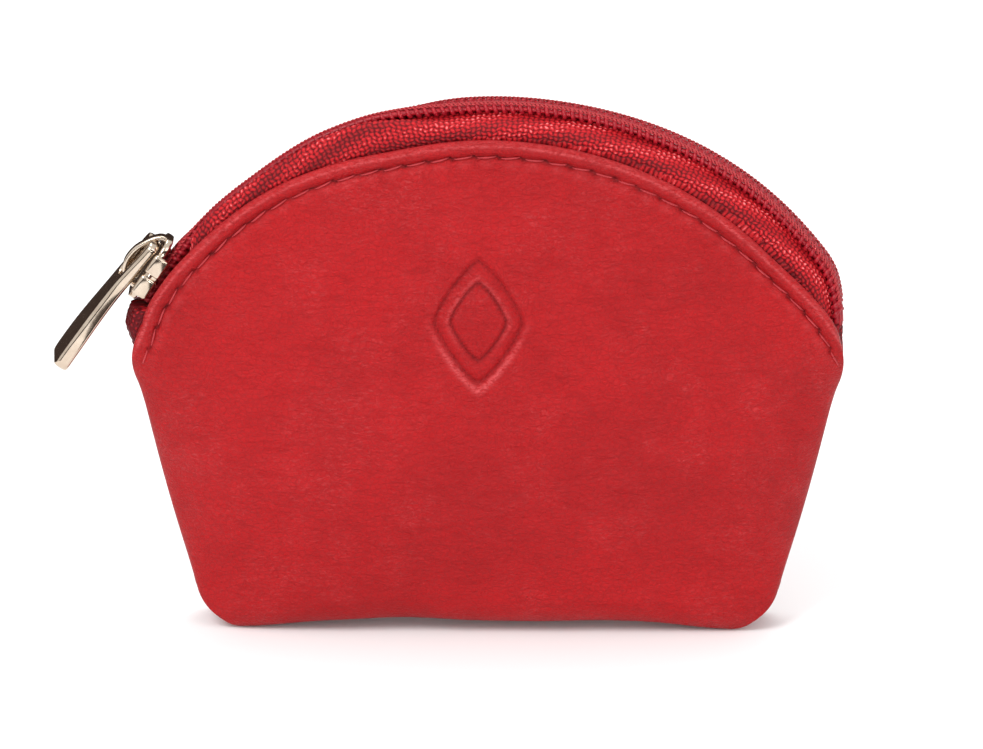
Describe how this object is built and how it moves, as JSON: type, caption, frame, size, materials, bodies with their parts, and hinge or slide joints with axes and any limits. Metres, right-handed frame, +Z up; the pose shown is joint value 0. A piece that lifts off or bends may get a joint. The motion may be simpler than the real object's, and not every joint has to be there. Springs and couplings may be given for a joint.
{
  "type": "coin purse",
  "caption": "Small leather coin purse with an arched top, closed by a coil zip with a long metal puller.",
  "frame": {"origin": "on the flat underside, in the middle of the purse's length and depth", "axes": "+X to the purse's right seen from the front, the front faces -Y, +Z up towards the zip"},
  "size_m": [0.1157, 0.02, 0.0813],
  "materials": {
    "leather": "satin",
    "lining": "matte",
    "tape": "matte",
    "coil": "gloss",
    "thread": "matte",
    "metal": "polished"
  },
  "bodies": {
    "pouch": {"front_panel_lower": "leather", "back_panel_lower": "leather", "front_lining_lower": "lining", "back_lining_lower": "lining", "front_tape_end_left": "tape", "front_tape_end_right": "tape", "back_tape_end_left": "tape", "back_tape_end_right": "tape", "front_coil_end_right": "coil", "back_coil_end_right": "coil", "front_edge_stitching_left": "thread", "front_edge_stitching_right": "thread", "back_edge_stitching_left": "thread", "back_edge_stitching_right": "thread", "left_end_tack": "thread", "right_end_tack": "thread", "seam_thread": "thread"},
    "front_flap": {"front_panel_upper": "leather", "front_lining_upper": "lining", "front_tape": "tape", "front_coil": "coil", "front_coil_thread": "thread", "front_edge_stitching": "thread"},
    "back_flap": {"back_panel_upper": "leather", "back_lining_upper": "lining", "back_tape": "tape", "back_coil": "coil", "back_coil_thread": "thread", "back_edge_stitching": "thread"},
    "slider": {"slider_body": "metal"},
    "puller": {"puller": "metal"}
  },
  "joints": [
    {"name": "slider_travel", "type": "hinge", "parent": "pouch", "child": "slider", "pos_m": [0.0014, 0, 0.021], "axis": [0, 1, 0], "range_deg": [0, 107], "deforming": ["front_coil", "back_coil", "front_coil_thread", "back_coil_thread", "front_tape", "back_tape"]},
    {"name": "puller_swing", "type": "hinge", "parent": "slider", "child": "puller", "pos_m": [-0.04919, 0, 0.05856], "axis": [0, 1, 0], "range_deg": [0, 170]},
    {"name": "front_bend", "type": "hinge", "parent": "pouch", "child": "front_flap", "pos_m": [0, -0.006, 0.05], "axis": [1, 0, 0], "range_deg": [0, 32.1]},
    {"name": "back_bend", "type": "hinge", "parent": "pouch", "child": "back_flap", "pos_m": [0, 0.006, 0.05], "axis": [-1, 0, 0], "range_deg": [0, 32.1]}
  ],
  "couplings": [
    {"joint": "front_bend", "follows": "slider_travel", "ratio": 0.3},
    {"joint": "back_bend", "follows": "slider_travel", "ratio": 0.3}
  ]
}
